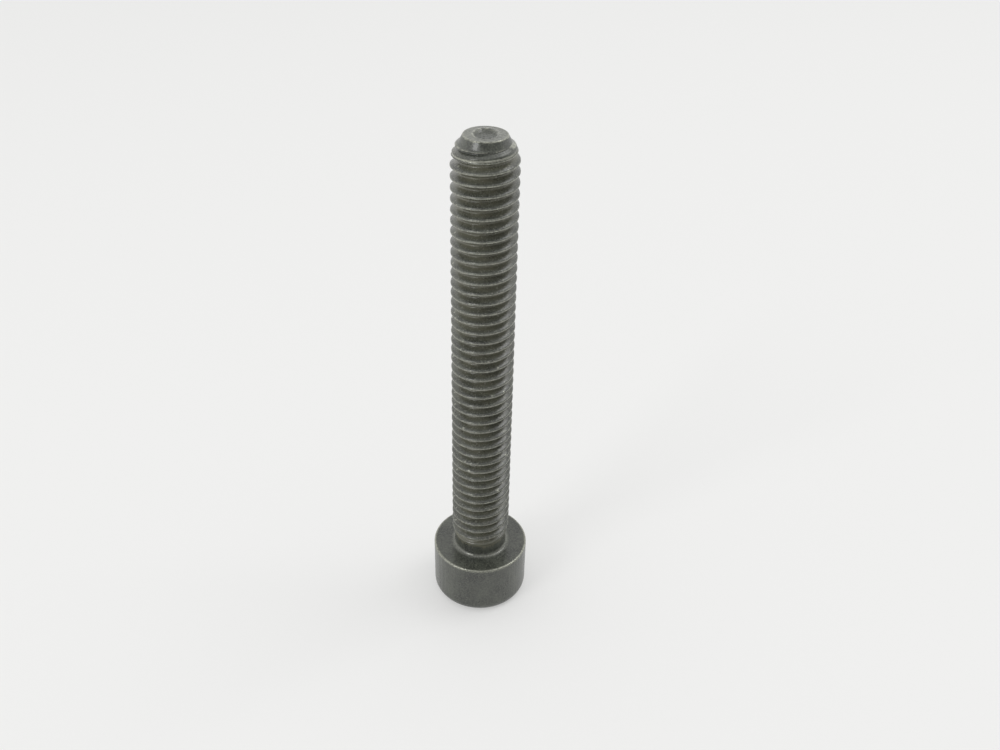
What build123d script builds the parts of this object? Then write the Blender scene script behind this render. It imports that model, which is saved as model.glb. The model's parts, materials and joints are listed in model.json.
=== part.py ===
"""Star drive cap screw, M6 x 45, black steel, threaded up to its head.

The screw stands on the drive end of its head. The origin is the centre of that end
face, and +Z runs along the shank to the point. All sizes are in millimetres.

The screw is forged cold from one piece of wire and its thread is rolled, so it is one
solid. The shank has the crest cylinder of the thread, with the run-out at one end and
the point at the other. The fine helical groove between the crests is left out.
"""

import os
from math import cos, radians, tan

from build123d import *

# Head
head_dia = 9.8
head_height = 6.0
drive_edge_radius = 0.9
seat_edge_radius = 0.15

# Shank, from the seat under the head to the point
shank_length = 45.0
crest_dia = 5.9
pitch = 1.0
neck_length = 1.25
neck_fillet_radius = 0.45

# A rolled thread starts from a blank of its pitch diameter, which lies this share of a
# pitch inside the crests. The blank shows where the rolls leave it bare.
crest_to_blank = 0.65
neck_dia = crest_dia - crest_to_blank * pitch
runout_length = pitch

# Point: a flat end with a shallow dent, a short cone, and a rounded lead on which the
# first turns of the thread rise
point_flat_dia = 3.72
point_cone_dia = 4.4
point_cone_length = 0.6
lead_length = 1.2
dent_dia = 2.0
dent_depth = 0.2

# Hexalobular recess of size 30, sunk into the drive end
lobes = 6
drive_outer_dia = 5.6
drive_inner_dia = 3.95
lobe_radius = 0.45
drive_depth = 2.3
floor_slope = 15.0
mouth_margin = 0.12
mouth_slope = 20.0

# Heights above the drive end
seat = head_height
neck_top = seat + neck_length
crest_start = neck_top + runout_length
point_top = seat + shank_length
cone_start = point_top - point_cone_length
crest_end = cone_start - lead_length


def around(radius, angle):
    """The point at this radius from the screw's axis, at this angle in degrees."""
    return Vector(radius, 0).rotate(Axis.Z, angle)


def climb(run, slope):
    """How far a slope, given in degrees, climbs along this run."""
    return run * tan(radians(slope))


# The star's outline takes turns between the arc of a lobe and the arc of a flute. The
# two arcs touch where they join, and that gives the flutes their radius.
sixth = 360 / lobes
lobe_tip = drive_outer_dia / 2
lobe_centre = lobe_tip - lobe_radius
flute_crest = drive_inner_dia / 2
lobe_reach = lobe_centre * cos(radians(sixth / 2))
centre_gap = lobe_centre**2 + flute_crest**2 - 2 * lobe_reach * flute_crest
flute_radius = (centre_gap - lobe_radius**2) / (2 * (lobe_reach + lobe_radius - flute_crest))
lobe_to_flute = around(flute_crest + flute_radius, sixth / 2) - around(lobe_centre, 0)
join = around(lobe_centre, 0) + lobe_to_flute.normalized() * lobe_radius
join_angle = join.get_angle(Vector(1, 0))

# The punch that forges the recess: a star prism that ends in a flat cone, with a
# shoulder that leaves the mouth countersunk
punch_length = drive_depth + climb(lobe_tip, floor_slope)
mouth_radius = lobe_tip + mouth_margin

with BuildPart() as punch:
    with BuildSketch() as star:
        with BuildLine():
            for lobe in range(lobes):
                turn = lobe * sixth
                lobe_start = around(join.length, turn - join_angle)
                lobe_end = around(join.length, turn + join_angle)
                flute_end = around(join.length, turn + sixth - join_angle)
                ThreePointArc(lobe_start, around(lobe_tip, turn), lobe_end)
                ThreePointArc(lobe_end, around(flute_crest, turn + sixth / 2), flute_end)
        make_face()
    extrude(amount=punch_length)
    with BuildSketch(Plane.XZ) as punch_end:
        with BuildLine():
            Polyline(
                (0, 0),
                (head_dia / 2, 0),
                (head_dia / 2, punch_length - climb(head_dia / 2, floor_slope)),
                (0, punch_length),
                close=True,
            )
        make_face()
    revolve(axis=Axis.Z, mode=Mode.INTERSECT)
    with BuildSketch(Plane.XZ) as shoulder:
        with BuildLine():
            Polyline((0, 0), (mouth_radius, 0), (0, climb(mouth_radius, mouth_slope)), close=True)
        make_face()
    revolve(axis=Axis.Z)

with BuildPart() as star_drive_bolt:
    Cylinder(head_dia / 2, head_height, align=(Align.CENTER, Align.CENTER, Align.MIN))
    drive_end, seat_face = faces().filter_by(GeomType.PLANE).sort_by(Axis.Z)
    fillet(drive_end.edges(), drive_edge_radius)
    fillet(seat_face.edges(), seat_edge_radius)

    with BuildSketch(Plane.XZ) as shank:
        with BuildLine():
            Line((0, seat), (neck_dia / 2, seat))
            Line((neck_dia / 2, seat), (neck_dia / 2, neck_top))
            Line((neck_dia / 2, neck_top), (crest_dia / 2, crest_start))
            Line((crest_dia / 2, crest_start), (crest_dia / 2, crest_end))
            TangentArc((crest_dia / 2, crest_end), (point_cone_dia / 2, cone_start), tangent=(0, 1))
            Line((point_cone_dia / 2, cone_start), (point_flat_dia / 2, point_top))
            Line((point_flat_dia / 2, point_top), (0, point_top))
            Line((0, point_top), (0, seat))
        make_face()
    revolve(axis=Axis.Z)
    neck_root = edges().filter_by_position(Axis.Z, seat, seat).sort_by(SortBy.RADIUS)[0]
    fillet(neck_root, neck_fillet_radius)

    # The dent is part of a ball that goes as deep as its width allows
    dent_ball_radius = (dent_dia**2 / 4 + dent_depth**2) / (2 * dent_depth)
    with Locations((0, 0, point_top + dent_ball_radius - dent_depth)):
        Sphere(dent_ball_radius, mode=Mode.SUBTRACT)

    add(punch.part, mode=Mode.SUBTRACT)

star_drive_bolt.part.label = "star_drive_bolt"

os.makedirs("parts", exist_ok=True)
export_step(star_drive_bolt.part, "parts/star_drive_bolt.step")
print("volume", round(star_drive_bolt.part.volume, 2), "mm3")
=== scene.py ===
# %% [markdown]
# # A black steel star drive cap screw, M6 x 45
#
# The screw stands on the drive end of its head, with its point up. It was forged cold
# from one piece of wire, its thread was rolled between two dies, and it was blackened in
# a hot bath and oiled. The shop has handled it since: the crests of the thread and the
# rim of the head are rubbed lighter, and oil and dirt have stayed in the grooves.
#
# The CAD frame gives the place and the size of everything. It holds the screw without
# the fine groove of its thread, so this script makes the whole surface again, with the
# thread on it, as one closed mesh.

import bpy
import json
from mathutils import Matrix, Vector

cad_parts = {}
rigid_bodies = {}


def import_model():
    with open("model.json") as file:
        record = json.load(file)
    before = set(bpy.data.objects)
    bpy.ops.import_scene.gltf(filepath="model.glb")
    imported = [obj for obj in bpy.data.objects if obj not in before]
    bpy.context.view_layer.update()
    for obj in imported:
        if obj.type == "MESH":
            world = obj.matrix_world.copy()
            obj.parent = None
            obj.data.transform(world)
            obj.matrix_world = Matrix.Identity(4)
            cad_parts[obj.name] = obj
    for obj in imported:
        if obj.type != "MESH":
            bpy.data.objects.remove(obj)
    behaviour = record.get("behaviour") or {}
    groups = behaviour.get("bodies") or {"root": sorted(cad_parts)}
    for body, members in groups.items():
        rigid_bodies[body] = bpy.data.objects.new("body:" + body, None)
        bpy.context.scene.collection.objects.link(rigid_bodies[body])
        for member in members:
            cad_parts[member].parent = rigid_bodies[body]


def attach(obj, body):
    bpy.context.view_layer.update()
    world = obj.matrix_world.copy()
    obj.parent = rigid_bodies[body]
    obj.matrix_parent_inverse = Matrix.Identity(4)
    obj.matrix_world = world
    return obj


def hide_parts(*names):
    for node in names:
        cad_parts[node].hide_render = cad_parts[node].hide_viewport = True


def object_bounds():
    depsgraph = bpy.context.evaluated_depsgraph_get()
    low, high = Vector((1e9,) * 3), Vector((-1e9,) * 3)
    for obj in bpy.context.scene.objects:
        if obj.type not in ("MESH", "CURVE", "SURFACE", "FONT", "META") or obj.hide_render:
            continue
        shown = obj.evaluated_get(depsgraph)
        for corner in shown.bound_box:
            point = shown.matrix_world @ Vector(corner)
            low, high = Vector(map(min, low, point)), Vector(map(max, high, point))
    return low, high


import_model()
cad_low, cad_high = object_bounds()
print("CAD box", [round(v, 4) for v in (*cad_low, *cad_high)])

# %% [markdown]
# ## Tools for the whole script
#
# Colours are written as sRGB hex, as in a paint program, but a shader's sockets expect
# linear light, so one function turns the first into the second. Materials and Geometry
# Nodes are both trees of nodes, so one more function adds a node, sets it up and links
# it, and it serves every tree. The few kinds of node that come back often get a short
# name.

# %% Units, colours and nodes
import json
from math import atan2, ceil, cos, hypot, pi, radians, sin, sqrt, tan

import bmesh
import bpy
from mathutils import Matrix, Vector, noise

MM = 0.001  # one millimetre, in the metres of the frame

MATH = "ShaderNodeMath"
MAP_RANGE = "ShaderNodeMapRange"
VECTOR_MATH = "ShaderNodeVectorMath"
NOISE = "ShaderNodeTexNoise"
EASED = {"interpolation_type": "SMOOTHSTEP"}

# A Mix node has a set of sockets for each kind of value: 0 is the share, 2 and 3 are two
# numbers with their result at 0, and 6 and 7 are two colours with their result at 2.
MIX = "ShaderNodeMix"


def linear(hex_colour):
    """A colour written as sRGB hex, such as #8a8f84, as the linear RGBA of a socket."""
    shares = [int(hex_colour[i : i + 2], 16) / 255 for i in (1, 3, 5)]
    rgb = [s / 12.92 if s <= 0.04045 else ((s + 0.055) / 1.055) ** 2.4 for s in shares]
    return (*rgb, 1.0)


def add(tree, kind, inputs=(), **settings):
    """A new node with its settings. Each input is a value, a socket, or a node, which
    stands for the first of its outputs that is in use."""
    node = tree.nodes.new(kind)
    for name, value in settings.items():
        setattr(node, name, value)
    for key, source in inputs.items() if isinstance(inputs, dict) else enumerate(inputs):
        if isinstance(source, bpy.types.Node):
            source = next(socket for socket in source.outputs if socket.enabled)
        if isinstance(source, bpy.types.NodeSocket):
            tree.links.new(source, node.inputs[key])
        else:
            node.inputs[key].default_value = source
    return node


def empty_tree(owner):
    """The node tree of a material or world, with nothing in it."""
    owner.use_nodes = True
    owner.node_tree.nodes.clear()
    return owner.node_tree


print("mid grey #808080 is", round(linear("#808080")[0], 3), "in linear light")

# %% [markdown]
# ## Camera
#
# The screw is seen from in front and above, from about 9 cm, with a lens a little longer
# than a phone's. The camera looks down by about 35 degrees, and it is held a degree or
# so off level, which is why the screw leans slightly in the view. A Track To constraint
# could aim it, but it would also hold it level, so the turns are multiplied out here.

# %% Camera: millimetres and degrees
CAMERA_DISTANCE = 74.71
CAMERA_HEIGHT = 78.72
CAMERA_PITCH = 34.52
CAMERA_YAW = 1.276
CAMERA_ROLL = 1.49
LENS = 34.41
SENSOR_WIDTH = 36.0

camera_data = bpy.data.cameras.new("camera")
camera_data.lens = LENS
camera_data.sensor_width = SENSOR_WIDTH
camera_data.clip_start = 5 * MM
camera = bpy.data.objects.new("camera", camera_data)
turned = (
    Matrix.Rotation(-radians(CAMERA_YAW), 4, "Z")
    @ Matrix.Rotation(radians(90 - CAMERA_PITCH), 4, "X")
    @ Matrix.Rotation(radians(CAMERA_ROLL), 4, "Z")
)
stand = Matrix.Translation((0, -CAMERA_DISTANCE * MM, CAMERA_HEIGHT * MM))
camera.matrix_world = stand @ turned
bpy.context.scene.collection.objects.link(camera)
bpy.context.scene.camera = camera
print("camera at", [round(v, 4) for v in camera.matrix_world.translation])

# %% [markdown]
# ## Black oxide on steel
#
# A hot black finish turns the outside of the steel into a thin film of magnetite, and
# oil fills it. To the eye it is a dark grey with a touch of olive, under a soft sheen
# that grows towards the edges. It could be drawn as a dark metal, but a metal goes black
# where it mirrors the dark side of a room, and the real film keeps its grey there. So
# the film is a dark base under the gloss of a dielectric, and the steel shows as a metal
# where the film has been rubbed off, and in the painted highlights on the neck's fillet
# and the point's burr.
#
# Four attributes on the mesh say where the finish has changed. The first is 1 where
# rubbing has brought the steel through, and more where it is polished, and on the neck's
# fillet and the back and left of the point's burr it also holds painted highlight, shown
# as lighter steel. `grime` is 1 where oil and dirt have gathered. `streaks` is 1 on the
# side of the head, which the die left with faint lines along the screw. `rolled` is 1 on
# the thread, where handling has knocked chips and most of the flecks out of the film.

# %% Colours and sizes of the finish
OXIDE = "#54574e"
OXIDE_DARK = "#2d2f2b"
BARE_STEEL = "#a4a599"
GRIME = "#6a6959"
CLOUD_SIZE = 2.2 * MM
# The crystals of the film are only microns wide, and the pits and flecks little more, so
# the grain and the flecks are drawn as coarse as they need to be to show.
GRAIN_SIZE = 0.16 * MM
FLECK_SIZE = 0.14 * MM
CHIP_SPACING = 0.95 * MM
STREAK_WIDTH = 0.3 * MM
STREAK_STRETCH = 0.06  # how fast the streaks change along the screw, beside round it
RELIEF_HEIGHT = 0.04 * MM
PIT_SHARE = 0.16
GRAIN_SHARE = 0.6
FILM_IOR = 1.65  # between the oil, 1.5, and magnetite, 2.4
STEEL_SHARE = 0.75

black_oxide = bpy.data.materials.new("oiled_black_oxide_steel")
finish = empty_tree(black_oxide)
place = add(finish, "ShaderNodeTexCoord").outputs["Object"]
print("finish:", black_oxide.name)

# %% The film: clouds and grain of two dark greys, under a patchy veil of grime
# Noise lies round 0.5, and seldom below 0.3 or above 0.7. So a Map Range from one value
# of it to another sets how much of the surface a mark covers, and how sharp its edge is.
clouds = add(finish, NOISE, {"Vector": place, "Scale": 1 / CLOUD_SIZE, "Detail": 4.0})
grain = add(finish, NOISE, {"Vector": place, "Scale": 1 / GRAIN_SIZE, "Detail": 3.0})
mottle = add(finish, MIX, {0: GRAIN_SHARE, 2: clouds, 3: grain}, data_type="FLOAT")
mottle = add(finish, MAP_RANGE, (mottle.outputs[0], 0.38, 0.62, 0.0, 1.0))
greys = {0: mottle, 6: linear(OXIDE_DARK), 7: linear(OXIDE)}
film = add(finish, MIX, greys, data_type="RGBA").outputs[2]

gathered = add(finish, "ShaderNodeAttribute", attribute_name="grime").outputs["Fac"]
patchy = add(finish, MAP_RANGE, (clouds, 0.35, 0.6, 0.5, 1.0))
gathered = add(finish, MATH, (gathered, patchy), operation="MULTIPLY")
film = add(finish, MIX, {0: gathered, 6: film, 7: linear(GRIME)}, data_type="RGBA").outputs[2]
print("film:", len(finish.nodes), "nodes so far")

# %% Rubbed edges, painted highlights, flecks and chips, where the steel comes through
# Besides rubbed steel, this attribute holds painted highlight on the neck's fillet and on the back
# and left of the point's burr, drawn as bare steel.
rubbed_and_highlight = add(finish, "ShaderNodeAttribute", attribute_name="wear_and_highlight").outputs["Fac"]
scuffed = add(finish, MAP_RANGE, (grain, 0.36, 0.6, 0.4, 1.1))
on_thread = add(finish, "ShaderNodeAttribute", attribute_name="rolled").outputs["Fac"]
flecks = add(finish, NOISE, {"Vector": place, "Scale": 1 / FLECK_SIZE, "Detail": 1.0})
flecks = add(finish, MAP_RANGE, (flecks, 0.58, 0.72, 0.0, 0.5))
gritty = add(finish, MAP_RANGE, (on_thread, 0.0, 1.0, 0.3, 1.0))
flecks = add(finish, MATH, (flecks, gritty), operation="MULTIPLY")
rubbed_and_highlight = add(finish, MATH, (rubbed_and_highlight, scuffed, flecks), operation="MULTIPLY_ADD")

# Voronoi scatters points through space, and each that lies in the skin leaves a chip.
# The chips are about 0.1 mm in radius.
cells = add(finish, "ShaderNodeTexVoronoi", {"Vector": place, "Scale": 1 / CHIP_SPACING})
chips = add(finish, MAP_RANGE, (cells.outputs["Distance"], 0.095, 0.13, 0.8, 0.0))
chips = add(finish, MATH, (chips, on_thread), operation="MULTIPLY")
rubbed_and_highlight = add(finish, MATH, (rubbed_and_highlight, chips), operation="MAXIMUM")
rubbed_and_highlight = add(finish, "ShaderNodeClamp", (rubbed_and_highlight, 0.0, 1.0))
colours = {0: rubbed_and_highlight, 6: film, 7: linear(BARE_STEEL)}
colour = add(finish, MIX, colours, data_type="RGBA").outputs[2]
print("wear:", len(finish.nodes), "nodes so far")

# %% Relief and gloss: fine pits, or streaks on the head, and a sheen that clouds over
stretched = add(finish, "ShaderNodeMapping", {"Vector": place, "Scale": (1.0, 1.0, STREAK_STRETCH)})
streaks = add(finish, NOISE, {"Vector": stretched, "Scale": 1 / STREAK_WIDTH, "Detail": 2.0})
on_head_side = add(finish, "ShaderNodeAttribute", attribute_name="streaks").outputs["Fac"]
pits = add(finish, MATH, (grain, PIT_SHARE), operation="MULTIPLY")
relief = add(finish, MIX, {0: on_head_side, 2: pits, 3: streaks}, data_type="FLOAT").outputs[0]
bump = add(
    finish, "ShaderNodeBump", {"Strength": 1.0, "Distance": RELIEF_HEIGHT, "Height": relief}
)
rough = add(finish, MAP_RANGE, (clouds, 0.3, 0.7, 0.24, 0.32))
bare = add(finish, MATH, (rubbed_and_highlight, STEEL_SHARE), operation="MULTIPLY")
surface_look = {
    "Base Color": colour,
    "Metallic": bare,
    "Roughness": rough,
    "IOR": FILM_IOR,
    "Normal": bump,
}
shader = add(finish, "ShaderNodeBsdfPrincipled", surface_look)
add(finish, "ShaderNodeOutputMaterial", (shader,))
print("finish", black_oxide.name, "has", len(finish.nodes), "nodes")

# %% [markdown]
# ## The rolled thread
#
# Two dies press the groove into the blank, and the metal flows up between their ridges
# to make the crests. The form follows a rule: one V-shaped ridge that climbs one pitch
# each turn. It could be an array of one turn, or a profile swept along a helix, but both
# need extra work to close at the ends. Here Geometry Nodes bend a flat grid instead. Its
# columns go round the screw, and its rows follow the helix, so that every sixteenth row
# is a crest. Rows below the neck or above the point are pressed flat onto those two
# levels, and merging them leaves a clean ring at each end.
#
# At the point the crests are not full yet. The metal has not met in the middle, so the
# last turn there has a flat, split crest, and above it the metal is squeezed up against
# the cone as a low lip. Near the head the groove runs out, over about one pitch.

# %% Sizes of the thread and the point, in millimetres
PITCH = 1.0
CREST_RADIUS = 2.95
THREAD_DEPTH = 0.6134 * PITCH
ROOT_RADIUS = CREST_RADIUS - THREAD_DEPTH
CREST_FLAT = 0.13 * PITCH
NECK_RADIUS = 2.625
NECK_TOP = 7.25
POINT_TOP = cad_high.z / MM
CREST_AT_ZERO = POINT_TOP - 2.14  # the height of a crest on the +X side
POINT_FLAT_RADIUS = 1.83
POINT_EDGE_ROUND = 0.09
BURR = 0.03
POINT_LEVEL = POINT_TOP - BURR
CONE_TOP = POINT_LEVEL - POINT_EDGE_ROUND
CONE_TOP_RADIUS = POINT_FLAT_RADIUS + POINT_EDGE_ROUND
SEGMENTS = 120
ROWS_PER_TURN = 16

turns_below = ceil((CREST_AT_ZERO - NECK_TOP) / PITCH) + 1
first_row = CREST_AT_ZERO - turns_below * PITCH
turns = ceil((CONE_TOP - first_row) / PITCH)
print("thread: rows start at", round(first_row, 2), "mm and run for", turns, "turns")

# %% Start the tree, with its sizes as named inputs
thread_sizes = {
    "Segments": SEGMENTS,
    "Rows per Turn": ROWS_PER_TURN,
    "Turns": turns,
    "Pitch": PITCH,
    "First Row": first_row,
    "Crest Radius": CREST_RADIUS,
    "Crest Flat": CREST_FLAT,
    "Crest Round": 0.06,
    "Root Radius": ROOT_RADIUS,
    "Root Round": 0.14,
    "Neck Radius": NECK_RADIUS,
    "Neck Top": NECK_TOP,
    "Cone Top": CONE_TOP,
    "Cone Radius": CONE_TOP_RADIUS,
    "Cone Slope": 0.55,
    "Lip": POINT_TOP - 0.7,
    "Lip Slope": 1.2,
    "Lip Round": 0.02,
    "Lip Undercut": 0.13,
    "Lead Start": POINT_TOP - 2.56,
    "Lead Round": 3.27,
    "Seam Width": 0.15,
    "Seam Depth": 0.05,
    "Split Width": 0.12,
    "Split Drop": 0.09,
    "Wear Seed": 7,
    "Wear Spacing": 0.7,
    "Wear Depth": 0.025,
    "Nick Seed": 4,
    "Nick Spacing": 0.4,
    "Nick Depth": 0.07,
    "Material": black_oxide,
}
kinds = {
    int: "NodeSocketInt",
    float: "NodeSocketFloat",
    bpy.types.Material: "NodeSocketMaterial",
}
thread = bpy.data.node_groups.new("rolled_thread", "GeometryNodeTree")
thread.is_modifier = True
for name, value in thread_sizes.items():
    thread.interface.new_socket(name, in_out="INPUT", socket_type=kinds[type(value)])
thread.interface.new_socket("Geometry", in_out="OUTPUT", socket_type="NodeSocketGeometry")
size = add(thread, "NodeGroupInput").outputs
print("tree rolled_thread has", len(thread_sizes), "inputs")

# %% The grid, and where each of its points lies on the helix
columns = add(thread, MATH, (size["Segments"], 1), operation="ADD")
rows = add(thread, MATH, (size["Turns"], size["Rows per Turn"], 1), operation="MULTIPLY_ADD")
grid = add(thread, "GeometryNodeMeshGrid", {"Vertices X": columns, "Vertices Y": rows})
index = add(thread, "GeometryNodeInputIndex")
column = add(thread, MATH, (index, rows), operation="DIVIDE")
column = add(thread, MATH, (column,), operation="FLOOR")
row = add(thread, MATH, (index, rows), operation="MODULO")
turn = add(thread, MATH, (column, size["Segments"]), operation="DIVIDE")
phase = add(thread, MATH, (row, size["Rows per Turn"]), operation="DIVIDE")
climb = add(thread, MATH, (phase, turn), operation="ADD")
climb = add(thread, MATH, (climb, size["Pitch"], size["First Row"]), operation="MULTIPLY_ADD")
height = add(thread, "ShaderNodeClamp", (climb, size["Neck Top"], size["Cone Top"]))
above_crest = add(thread, MATH, (phase, 0.5, -0.5), operation="WRAP")
above_crest = add(thread, MATH, (above_crest, size["Pitch"]), operation="MULTIPLY")
from_crest = add(thread, MATH, (above_crest,), operation="ABSOLUTE")
angle = add(thread, MATH, (turn, 2 * pi), operation="MULTIPLY")
east = add(thread, MATH, (angle,), operation="COSINE")
north = add(thread, MATH, (angle,), operation="SINE")
outwards = add(thread, "ShaderNodeCombineXYZ", (east, north, 0.0))
level = add(thread, "ShaderNodeCombineXYZ", (0.0, 0.0, height))
print("helix:", len(thread.nodes), "nodes so far")

# %% [markdown]
# ### Worn and nicked crests
#
# A screw that lies in a box with others gets its crests flattened here and there, and
# nicked where an edge has hit it. Both could be sculpted by hand. A noise does it with
# two numbers: how far apart the marks are, and how deep. It is read on the crest's
# cylinder, so that a mark goes straight in, and a fourth coordinate is its seed.

# %% How deep the wear and the nicks go
on_crest = add(thread, VECTOR_MATH, {0: outwards, "Scale": size["Crest Radius"]}, operation="SCALE")
spot = add(thread, VECTOR_MATH, (on_crest, level), operation="ADD")


def marks(kind, **look):
    """A noise with one spot a spacing, in four dimensions, the last of them its seed."""
    per_spacing = add(thread, MATH, (1.0, size[kind + " Spacing"]), operation="DIVIDE")
    settings = {"Vector": spot, "W": size[kind + " Seed"], "Scale": per_spacing, **look}
    return add(thread, NOISE, settings, noise_dimensions="4D")


wear_marks = marks("Wear", Detail=3.0, Roughness=0.6)
wear_share = add(thread, MAP_RANGE, (wear_marks, 0.42, 0.72, 0.0, 1.0), **EASED)
wear_depth = add(thread, MATH, (wear_share, size["Wear Depth"]), operation="MULTIPLY")
nick_marks = marks("Nick", Detail=1.0)
nick_share = add(thread, MAP_RANGE, (nick_marks, 0.68, 0.74, 0.0, 1.0), **EASED)
nick_depth = add(thread, MATH, (nick_share, size["Nick Depth"]), operation="MULTIPLY")
print("wear and nicks:", len(thread.nodes), "nodes so far")

# %% How high the crests stand: less towards the point, and fading at the neck
# The ranges here and below are in millimetres. `lead` is the height above the place
# where the crests start to fall, and `above_neck` is the height above the neck.
lead = add(thread, MATH, (height, size["Lead Start"]), operation="SUBTRACT")
lead = add(thread, MATH, (lead, 0.0), operation="MAXIMUM")
lead_square = add(thread, MATH, (lead, lead), operation="MULTIPLY")
lead_drop = add(thread, MATH, (lead_square, size["Lead Round"]), operation="DIVIDE")
lead_drop = add(thread, MATH, (lead_drop, 0.5), operation="MULTIPLY")
seam = add(thread, MAP_RANGE, (from_crest, 0.0, size["Seam Width"], 1.0, 0.0), **EASED)
last_turn = add(thread, MAP_RANGE, (lead, 0.6, 0.85, 0.0, 1.0), **EASED)
seam = add(thread, MATH, (seam, last_turn), operation="MULTIPLY")
seam_depth = add(thread, MATH, (seam, size["Seam Depth"]), operation="MULTIPLY")
crest = size["Crest Radius"]
for loss in (lead_drop, wear_depth, seam_depth, nick_depth):
    crest = add(thread, MATH, (crest, loss), operation="SUBTRACT")

above_neck = add(thread, MATH, (height, size["Neck Top"]), operation="SUBTRACT")
crest = add(thread, MAP_RANGE, (above_neck, 0.0, 1.0, size["Neck Radius"], crest))
root = add(thread, MAP_RANGE, (above_neck, 0.1, 1.2, size["Neck Radius"], size["Root Radius"]))
near_lip = add(thread, MAP_RANGE, (lead, 1.2, 1.5, 0.0, 1.0), **EASED)
undercut = add(thread, MATH, (near_lip, size["Lip Undercut"]), operation="MULTIPLY")
root = add(thread, MATH, (root, undercut), operation="SUBTRACT")
print("crest and root:", len(thread.nodes), "nodes so far")

# %% The V of the flanks, clipped by crest and root, and the cone of the point
STEEPNESS = sqrt(3)  # rise over run, for flanks at 60 degrees to each other
half_flat = add(thread, MATH, (size["Crest Flat"], STEEPNESS / 2), operation="MULTIPLY")
flank_tip = add(thread, MATH, (size["Crest Radius"], half_flat), operation="ADD")
flank = add(thread, MATH, (from_crest, -STEEPNESS, flank_tip), operation="MULTIPLY_ADD")
ridge = add(thread, MATH, (flank, crest, size["Crest Round"]), operation="SMOOTH_MIN")
ridge = add(thread, MATH, (ridge, root, size["Root Round"]), operation="SMOOTH_MAX")
below_top = add(thread, MATH, (size["Cone Top"], height), operation="SUBTRACT")
cone_form = (below_top, size["Cone Slope"], size["Cone Radius"])
cone = add(thread, MATH, cone_form, operation="MULTIPLY_ADD")
below_lip = add(thread, MATH, (size["Lip"], height), operation="SUBTRACT")
below_lip = add(thread, MATH, (below_lip, 0.0), operation="MAXIMUM")
cone = add(thread, MATH, (below_lip, size["Lip Slope"], cone), operation="MULTIPLY_ADD")
radius = add(thread, MATH, (ridge, cone, size["Lip Round"]), operation="SMOOTH_MIN")
ends = (
    ("LESS_EQUAL", size["Neck Top"], size["Neck Radius"]),
    ("GREATER_EQUAL", size["Cone Top"], size["Cone Radius"]),
)
for relation, end_height, end_radius in ends:
    limit = {"data_type": "FLOAT", "operation": relation}
    past = add(thread, "FunctionNodeCompare", (climb, end_height), **limit)
    radius = add(thread, "GeometryNodeSwitch", (past, radius, end_radius), input_type="FLOAT")
print("thread's form:", len(thread.nodes), "nodes so far")

# %% [markdown]
# ### Where the thread is rubbed, and where it is dirty
#
# Every crest is rubbed along its lower edge, which catches most. On the split turn at
# the point both edges of the flat are rubbed, and on the lip only its rim is. Dirt sits
# in the groove as far as the lip, and the point is clean. These could be painted on by
# hand as vertex colours. The tree knows how far each point is from the crest and from
# the root, so it writes them as it goes.

# %% Rubbed edges
below = add(thread, MATH, (crest, radius), operation="SUBTRACT")
worn = add(thread, MAP_RANGE, (below, 0.0, 0.08, 1.0, 0.0), **EASED)
lower_side = add(thread, MAP_RANGE, (above_crest, -0.05, 0.1, 1.0, 0.1), **EASED)
worn = add(thread, MATH, (worn, lower_side), operation="MULTIPLY")
full_turns = add(thread, MAP_RANGE, (above_neck, 0.4, 1.0, 0.0, 1.0), **EASED)
worn = add(thread, MATH, (worn, full_turns), operation="MULTIPLY")

from_split = add(thread, MATH, (above_crest, size["Split Drop"]), operation="ADD")
from_split = add(thread, MATH, (from_split,), operation="ABSOLUTE")
from_edge = add(thread, MATH, (from_split, size["Split Width"]), operation="SUBTRACT")
from_edge = add(thread, MATH, (from_edge,), operation="ABSOLUTE")
split_worn = add(thread, MAP_RANGE, (from_edge, 0.05, 0.1, 1.5, 0.0), **EASED)
worn = add(thread, MIX, {0: last_turn, 2: worn, 3: split_worn}, data_type="FLOAT").outputs[0]

off_lip = add(thread, MATH, (ridge, cone), operation="SUBTRACT")
off_lip = add(thread, MATH, (off_lip,), operation="ABSOLUTE")
lip_worn = add(thread, MAP_RANGE, (off_lip, 0.02, 0.1, 1.0, 0.0), **EASED)
worn = add(thread, MIX, {0: near_lip, 2: worn, 3: lip_worn}, data_type="FLOAT").outputs[0]
print("rubbed edges:", len(thread.nodes), "nodes so far")

# %% Dirt, and the stretch that counts as thread
above_root = add(thread, MATH, (radius, root), operation="SUBTRACT")
dirty = add(thread, MAP_RANGE, (above_root, 0.02, 0.55, 1.0, 0.0), **EASED)
below_cone = add(thread, MAP_RANGE, (lead, 1.1, 1.5, 1.0, 0.0), **EASED)
dirty = add(thread, MATH, (dirty, below_cone), operation="MULTIPLY")
threaded = add(thread, MATH, (full_turns, below_cone), operation="MULTIPLY")
print("dirt:", len(thread.nodes), "nodes so far")

# %% Move the grid there, store the attributes, and finish the mesh
reach = add(thread, VECTOR_MATH, {0: outwards, "Scale": radius}, operation="SCALE")
position = add(thread, VECTOR_MATH, (reach, level), operation="ADD")
mesh = add(thread, "GeometryNodeSetPosition", {"Geometry": grid, "Position": position})
for name, value in (("wear_and_highlight", worn), ("grime", dirty), ("rolled", threaded)):
    stored = {"Geometry": mesh, "Name": name, "Value": value}
    mesh = add(thread, "GeometryNodeStoreNamedAttribute", stored)
mesh = add(thread, "GeometryNodeMergeByDistance", {"Geometry": mesh, "Distance": 0.001})
mesh = add(thread, "GeometryNodeTransform", {"Geometry": mesh, "Scale": (MM, MM, MM)})
mesh = add(thread, "GeometryNodeSetShadeSmooth", {"Geometry": mesh})
mesh = add(thread, "GeometryNodeRealizeInstances", {"Geometry": mesh})
mesh = add(thread, "GeometryNodeSetMaterial", {"Geometry": mesh, "Material": size["Material"]})
add(thread, "NodeGroupOutput", (mesh,))
print("tree rolled_thread has", len(thread.nodes), "nodes")

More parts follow.
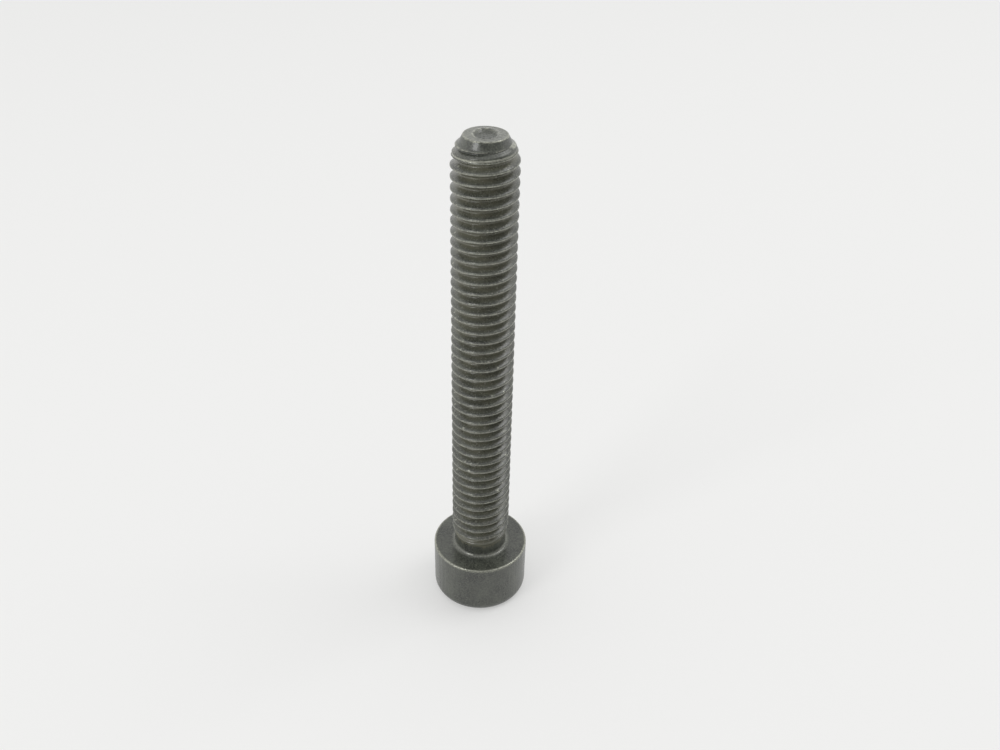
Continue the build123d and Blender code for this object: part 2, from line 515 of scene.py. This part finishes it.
# %% Run the tree, and keep its result as a plain mesh
holder = bpy.data.objects.new("thread_holder", bpy.data.meshes.new("thread_holder"))
modifier = holder.modifiers.new("rolled_thread", "NODES")
modifier.node_group = thread
for socket in thread.interface.items_tree:
    if socket.in_out == "INPUT":
        modifier[socket.identifier] = thread_sizes[socket.name]
bpy.context.scene.collection.objects.link(holder)
evaluated = holder.evaluated_get(bpy.context.evaluated_depsgraph_get())
thread_mesh = bpy.data.meshes.new_from_object(evaluated)
holder.modifiers.remove(modifier)
bpy.data.objects.remove(holder)
print("thread:", len(thread_mesh.vertices), "points and", len(thread_mesh.polygons), "faces")

# %% [markdown]
# ## Head
#
# The head is a plain cylinder with a rounded drive end, a flat seat, and a fillet where
# the neck rises from it. It could be a cylinder with a bevel. It is made here as a stack
# of rings instead, from the neck down over the head. Each ring has as many points as the
# thread has columns, so the pieces close without a seam, and each bend gets as many rings
# as it needs.

# %% Rings of the head, in millimetres
HEAD_HEIGHT = 6.0
HEAD_RADIUS = cad_high.x / MM
SEAT_EDGE = 0.15
DRIVE_EDGE = 0.9
NECK_FILLET = 0.45
NECK_RINGS = (NECK_TOP, 6.9, 6.55)
SEAT_RINGS = (3.12, 3.5, 4.1, 4.5, 4.66)
SIDE_RINGS = (5.76, 5.4, 4.6, 3.8, 3.0, 2.2, 1.5, 1.1)
DRIVE_FACE_RINGS = (3.8, 3.4, 3.1, 2.97)


def ring(radius, height):
    """A level circle of points round the screw's axis."""
    angles = [2 * pi * i / SEGMENTS for i in range(SEGMENTS)]
    return [Vector((radius * cos(a), radius * sin(a), height)) for a in angles]


def bend(centre_radius, centre_height, bend_radius, start, end, steps):
    """The rings of a rounded edge. Angles are in degrees, with 0 outwards and 90 up."""
    rings = []
    for step in range(steps + 1):
        turn = radians(start + (end - start) * step / steps)
        radius = centre_radius + bend_radius * cos(turn)
        rings.append(ring(radius, centre_height + bend_radius * sin(turn)))
    return rings


fillet_radius, fillet_height = NECK_RADIUS + NECK_FILLET, HEAD_HEIGHT + NECK_FILLET
head_rings = [ring(NECK_RADIUS, h) for h in NECK_RINGS]
head_rings += bend(fillet_radius, fillet_height, NECK_FILLET, 180, 270, 6)
head_rings += [ring(r, HEAD_HEIGHT) for r in SEAT_RINGS]
head_rings += bend(HEAD_RADIUS - SEAT_EDGE, HEAD_HEIGHT - SEAT_EDGE, SEAT_EDGE, 90, 0, 4)
head_rings += [ring(HEAD_RADIUS, h) for h in SIDE_RINGS]
head_rings += bend(HEAD_RADIUS - DRIVE_EDGE, DRIVE_EDGE, DRIVE_EDGE, 0, -90, 7)
head_rings += [ring(r, 0.0) for r in DRIVE_FACE_RINGS]
print("head:", len(head_rings), "rings")

# %% [markdown]
# ## Drive recess
#
# A punch shaped like a six-lobed star sinks the recess. Its outline is twelve arcs, a
# lobe and a flute by turns, and each runs smoothly into the next. It could be cut with a
# boolean, which leaves long thin faces round the star. Instead the ring stack goes on:
# the last circle of the drive face turns into the star over the chamfer of the mouth,
# the star goes up the wall, and smaller and smaller stars close the sloped floor.
#
# One half of a lobe and one half of a flute are worked out, and then mirrored and turned.
# The arcs touch on the line through their two centres, which gives the flute's radius.

# %% Sizes of the star, in millimetres
LOBES = 6
STAR_OUTER = 2.8
STAR_INNER = 1.975
LOBE_ROUND = 0.45
RECESS_DEPTH = 2.3
FLOOR_SLOPE = radians(15)
MOUTH_WIDTH = 0.12
MOUTH_RADIUS = STAR_OUTER + MOUTH_WIDTH
MOUTH_SLOPE = radians(20)

sixth = 2 * pi / LOBES
lobe_centre = STAR_OUTER - LOBE_ROUND
lobe_reach = lobe_centre * cos(sixth / 2)
centre_gap = lobe_centre**2 + STAR_INNER**2 - 2 * lobe_reach * STAR_INNER
flute_round = (centre_gap - LOBE_ROUND**2) / (2 * (lobe_reach + LOBE_ROUND - STAR_INNER))
flute_axis = Vector((cos(sixth / 2), sin(sixth / 2), 0))
flute_centre = (STAR_INNER + flute_round) * flute_axis
to_flute = flute_centre - Vector((lobe_centre, 0, 0))
lobe_turn = atan2(to_flute.y, to_flute.x)
flute_turn = lobe_turn - sixth / 2
lobe_length = LOBE_ROUND * lobe_turn
half_length = lobe_length + flute_round * flute_turn
print("star: flutes of", round(flute_round, 3), "mm between lobes of", LOBE_ROUND, "mm")


# %% The star outline, with its points evenly spaced along it
def star_point(step):
    """The point at this step round the star."""
    lobe, share = divmod(step * LOBES / SEGMENTS, 1)
    walked = 2 * half_length * min(share, 1 - share)
    if walked < lobe_length:
        turn = walked / LOBE_ROUND
        point = Vector((lobe_centre + LOBE_ROUND * cos(turn), LOBE_ROUND * sin(turn), 0))
    else:
        turn = pi + lobe_turn - (walked - lobe_length) / flute_round
        point = flute_centre + flute_round * Vector((cos(turn), sin(turn), 0))
    if share > 0.5:
        point = 2 * point.dot(flute_axis) * flute_axis - point
    point.rotate(Matrix.Rotation(lobe * sixth, 3, "Z"))
    return point


star = [star_point(step) for step in range(SEGMENTS)]
reaches = [point.length for point in star]
print("star: reach", round(max(reaches), 3), "waist", round(min(reaches), 3))


# %% Rings of the recess, from the mouth up to the middle of its floor
def mouth_height(radius):
    return (MOUTH_RADIUS - radius) * tan(MOUTH_SLOPE)


def floor_height(radius):
    return RECESS_DEPTH + (STAR_OUTER - radius) * tan(FLOOR_SLOPE)


mouth_circle = ring(MOUTH_RADIUS, 0.0)
recess_rings = [mouth_circle]
for share in (0.35, 0.7, 1.0):
    mouth = [outer.lerp(inner, share) for outer, inner in zip(mouth_circle, star)]
    for point in mouth:
        point.z = mouth_height(point.length)
    recess_rings.append(mouth)
for share in (0.03, 0.35, 0.7, 0.97, 1.0):
    wall = [point.copy() for point in star]
    for point in wall:
        low, high = mouth_height(point.length), floor_height(point.length)
        point.z = low + (high - low) * share
    recess_rings.append(wall)
for scale in (0.97, 0.75, 0.5, 0.25):
    floor_star = [point * scale for point in star]
    for point in floor_star:
        point.z = floor_height(point.length)
    recess_rings.append(floor_star)
print("recess:", len(recess_rings), "rings")

# %% [markdown]
# ## Point
#
# The end of the wire was cropped, not turned. The rolling pushed its rim up and left a
# shallow ragged dent in the middle, with a thin burr round it. Sculpting would do for
# one screw. It is the same kind of ring stack as the head, and a function of place sinks
# the dent and lifts the burr. Noise makes the dent's outline ragged and its bottom rough.

# %% Rings of the point, in millimetres
DENT_LENGTH = 1.2
DENT_WIDTH = 0.98
DENT_DEPTH = 0.2
DENT_EDGE = 0.24
BURR_CENTRE = 1.08
BURR_REACH = 0.16
WAVINESS = 0.012
POINT_RINGS = 24


def dent_reach(p):
    """How far out a point lies, where 1 is on the dent's oval."""
    return hypot(p.x / DENT_WIDTH, p.y / DENT_LENGTH)


def noise_at(p, layer, detail):
    """Noise at a point's place on the end, from its own layer, so that two uses of it
    differ."""
    return noise.noise(Vector((p.x, p.y, layer)) * detail)


def in_dent(p):
    """How deep inside the dent a point is: 1 in the middle of it, 0 outside."""
    ragged = 1 + 0.13 * noise.noise(Vector((p.x, p.y, 3.0)).normalized() * 2.6)
    inside = min(max((ragged - dent_reach(p)) / DENT_EDGE, 0.0), 1.0)
    return inside * inside * (3 - 2 * inside)


def on_burr(p):
    """How close a point is to the burr round the dent: 1 on it, 0 away from it."""
    return max(0.0, 1 - abs(dent_reach(p) - BURR_CENTRE) / BURR_REACH)


def point_ring(radius):
    points = ring(radius, POINT_LEVEL)
    for p in points:
        rough = 0.07 * noise_at(p, 0.0, 3.1) + 0.04 * noise_at(p, 5.0, 7.0)
        p.z += BURR * on_burr(p) - in_dent(p) * (DENT_DEPTH + rough)
        p.z -= WAVINESS * abs(noise_at(p, 0.0, 1.7))
    return points


point_rings = bend(POINT_FLAT_RADIUS, CONE_TOP, POINT_EDGE_ROUND, 0, 90, 4)
for step in range(1, POINT_RINGS):
    point_rings.append(point_ring(POINT_FLAT_RADIUS * (1 - step / POINT_RINGS)))
print("point:", len(point_rings), "rings")

# %% [markdown]
# ## Where the head and the point are rubbed, and where highlight is painted
#
# The rim of the seat and the edge of the point take the knocks. A faint lighter band on
# the fillet at the neck is painted highlight, and the burr round the dent is bright in
# places, partly as patchy wear and partly as painted highlight towards its back and left.
# Each is a plain function of place, which the next step writes on the mesh as it makes
# the points.

# %% Functions of place for the attributes
SLACK = 0.01  # how far off a ring a point may be and still count as on it, in millimetres
RIM_REACH = 0.16
FILLET_RIDGE = 0.12
# The share of painted highlight on the fillet, and how far it spreads, in millimetres.
FILLET_HIGHLIGHT = 0.4
FILLET_SPREAD = 0.4


def rim_wear_and_fillet_highlight(p):
    """Rubbed steel on the head: full on the seat's rim. On the neck's fillet a faint band of
    lighter steel is painted highlight.
    """
    radius = hypot(p.x, p.y)
    from_rim = hypot(HEAD_RADIUS - radius, HEAD_HEIGHT - p.z)
    on_rim = min(1.0, 1.5 - from_rim / RIM_REACH)
    if radius > NECK_RADIUS + NECK_FILLET + SLACK:
        return max(0.0, on_rim)
    # The faint band round the fillet's ridge is painted highlight, not wear.
    from_ridge = abs(p.z - HEAD_HEIGHT - FILLET_RIDGE)
    return max(0.0, on_rim, FILLET_HIGHLIGHT - from_ridge / FILLET_SPREAD)


def head_streaks(p):
    """1 on the head's side, which has fine streaks, and 0 on the rest."""
    return 1.0 if hypot(p.x, p.y) > HEAD_RADIUS - SLACK else 0.0


def point_wear_and_highlight(p):
    """Rubbed steel on the point: its edge, and the burr, which is brighter in places. Towards
    the burr's back and left it is lighter still, as painted highlight.
    """
    if hypot(p.x, p.y) > POINT_FLAT_RADIUS - 0.04:
        return 0.85
    # The lean towards the back (+y) and the left (-x) is painted highlight where the burr faces the
    # light; the noise makes it patchy wear.
    patchy = 0.5 - 0.25 * p.x + 0.5 * p.y + 2.2 * noise_at(p, 9.0, 2.8)
    return (1 - in_dent(p)) * max(0.28, on_burr(p) * min(patchy, 1.7))


print("rim wear at the rim:", rim_wear_and_fillet_highlight(Vector((HEAD_RADIUS, 0, HEAD_HEIGHT))))

# %% [markdown]
# ## One closed body
#
# The stacks of rings and the thread share their end rings, so merging points that
# coincide closes the body. Joining them as separate objects would leave open shells that
# only touch. The count of open edges says whether the body is closed.

# %% Join the surfaces
body = bmesh.new()
body.from_mesh(thread_mesh)
wear_and_highlight_layer = body.verts.layers.float["wear_and_highlight"]
streak_layer = body.verts.layers.float.new("streaks")


def cover(rings, middle_height, wear, streaks=lambda p: 0.0):
    """Faces between each ring and the next, and from the last one to the middle. The
    attributes that aren't set stay 0."""
    made = []
    for points in rings:
        verts = [body.verts.new(p * MM) for p in points]
        for vert, p in zip(verts, points):
            # Besides rubbed steel, these values hold painted highlight on the fillet and the burr.
            vert[wear_and_highlight_layer] = wear(p)
            vert[streak_layer] = streaks(p)
        made.append(verts)
    for here, there in zip(made, made[1:]):
        for i in range(SEGMENTS):
            j = (i + 1) % SEGMENTS
            body.faces.new((here[i], here[j], there[j], there[i]))
    middle = body.verts.new(Vector((0, 0, middle_height)) * MM)
    for i in range(SEGMENTS):
        body.faces.new((made[-1][i], made[-1][(i + 1) % SEGMENTS], middle))


cover(head_rings + recess_rings, floor_height(0.0), rim_wear_and_fillet_highlight, head_streaks)
cover(point_rings, POINT_TOP - DENT_DEPTH, point_wear_and_highlight)
bmesh.ops.remove_doubles(body, verts=body.verts, dist=0.0005 * MM)
bmesh.ops.recalc_face_normals(body, faces=body.faces)
open_edges = sum(1 for edge in body.edges if len(edge.link_faces) != 2)
triangles = sum(len(face.verts) - 2 for face in body.faces)
volume = body.calc_volume() / MM**3
print("body:", triangles, "triangles,", open_edges, "open edges,", round(volume, 1), "mm3")

# %% Make it an object
bolt_mesh = bpy.data.meshes.new("star_drive_bolt_body")
body.to_mesh(bolt_mesh)
body.free()
for polygon in bolt_mesh.polygons:
    polygon.use_smooth = True
bolt_mesh.materials.clear()
bolt_mesh.materials.append(black_oxide)
bolt = bpy.data.objects.new("star_drive_bolt_body", bolt_mesh)
bpy.context.scene.collection.objects.link(bolt)
bpy.data.meshes.remove(thread_mesh)
marked = [layer.name for layer in bolt_mesh.attributes if layer.data_type == "FLOAT"]
print("object", bolt.name, "with attributes", marked)

# %% [markdown]
# ## Floor
#
# The screw stands on white paper, which is matte. A paper lit only by the lamps would
# either come out grey or need more light than the screw can take, so part of its white
# is its own glow. Only the camera and reflections see the glow, so it lights nothing,
# and the rest of the paper still takes the screw's soft shadow.

# %% Paper
PAPER = "#ededec"
GLOW_SHARE = 0.45
FLOOR_HALF = 1500 * MM

paper = bpy.data.materials.new("white_paper")
sheet = empty_tree(paper)
matte = add(sheet, "ShaderNodeBsdfDiffuse", {"Color": linear(PAPER)})
glow = add(sheet, "ShaderNodeEmission", {"Color": linear(PAPER)})
ray = add(sheet, "ShaderNodeLightPath").outputs
looking = add(sheet, MATH, (ray["Is Camera Ray"], ray["Is Glossy Ray"]), operation="MAXIMUM")
glowing = add(sheet, MATH, (looking, GLOW_SHARE), operation="MULTIPLY")
shown = add(sheet, "ShaderNodeMixShader", (glowing, matte, glow))
add(sheet, "ShaderNodeOutputMaterial", (shown,))

corners = [(-1, -1), (1, -1), (1, 1), (-1, 1)]
floor_mesh = bpy.data.meshes.new("floor")
floor_mesh.from_pydata([(x * FLOOR_HALF, y * FLOOR_HALF, 0) for x, y in corners], [], [(0, 1, 2, 3)])
floor_mesh.materials.append(paper)
floor_piece = bpy.data.objects.new("floor", floor_mesh)
bpy.context.scene.collection.objects.link(floor_piece)
print("floor:", 2 * FLOOR_HALF, "m wide")

# %% [markdown]
# ## Light
#
# A white room lights the screw from all sides, a little more from the horizon than from
# above. In front of the screw the room is dark, as it is where somebody leans over the
# table, and that gives the black film its depth. Two softboxes add the narrow bright
# lines on the cone and the crests, and the faint shadows. What the camera itself sees of
# the room is a separate, even white, which lights nothing.


# %% Softboxes
LAMP_DISTANCE = 600 * MM
LAMP_AIM = Vector((0, 0, 25 * MM))


def softbox(name, azimuth, elevation, width, radiance):
    """A square lamp that faces the middle of the screw. Azimuth 0 is in front, 90 is on
    the right. Width is the angle it fills, and radiance is how bright it looks."""
    a, e = radians(azimuth), radians(elevation)
    away = Vector((sin(a) * cos(e), -cos(a) * cos(e), sin(e)))
    data = bpy.data.lights.new(name, "AREA")
    data.size = 2 * LAMP_DISTANCE * tan(radians(width / 2))
    data.energy = radiance * pi * data.size**2
    lamp = bpy.data.objects.new(name, data)
    lamp.location = LAMP_AIM + away * LAMP_DISTANCE
    lamp.rotation_mode = "QUATERNION"
    lamp.rotation_quaternion = away.to_track_quat("Z", "Y")
    lamp.visible_camera = False
    bpy.context.scene.collection.objects.link(lamp)
    print(name, "is", round(data.size, 3), "m wide and gives", round(data.energy, 2), "W")


softbox("lamp_front_left", azimuth=-48, elevation=36, width=18, radiance=6.0)
softbox("lamp_right", azimuth=108, elevation=54, width=24, radiance=2.8)

# %% The room
DARK_SIDE = Vector((0.242, -0.97, -0.5))
HORIZON = 1.04
ZENITH = 0.92
DARK = 0.27
BACKDROP = 0.85

room = bpy.data.worlds.new("studio")
sky = empty_tree(room)
way = add(sky, "ShaderNodeTexCoord").outputs["Generated"]
upward = add(sky, "ShaderNodeSeparateXYZ", (way,)).outputs["Z"]
dome = add(sky, MAP_RANGE, (upward, 0.0, 1.0, HORIZON, ZENITH))
in_front = add(sky, VECTOR_MATH, (way, DARK_SIDE), operation="DOT_PRODUCT").outputs["Value"]
shade = add(sky, MAP_RANGE, (in_front, 0.15, 0.27, 1.0, DARK))
strength = add(sky, MATH, (dome, shade), operation="MULTIPLY")
ambient = add(sky, "ShaderNodeBackground", {"Color": (1.0, 1.0, 1.0, 1.0), "Strength": strength})
backdrop = add(sky, "ShaderNodeBackground", {"Color": (BACKDROP, BACKDROP, BACKDROP, 1.0)})
to_camera = add(sky, "ShaderNodeLightPath").outputs["Is Camera Ray"]
seen = add(sky, "ShaderNodeMixShader", (to_camera, ambient, backdrop))
add(sky, "ShaderNodeOutputWorld", (seen,))
bpy.context.scene.world = room
bpy.context.scene.view_settings.view_transform = "Standard"
print("room:", HORIZON, "at the horizon,", ZENITH, "above,", DARK, "in front")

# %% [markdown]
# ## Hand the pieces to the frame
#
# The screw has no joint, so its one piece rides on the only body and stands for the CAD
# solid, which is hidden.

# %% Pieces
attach(bolt, "root")
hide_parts("star_drive_bolt")
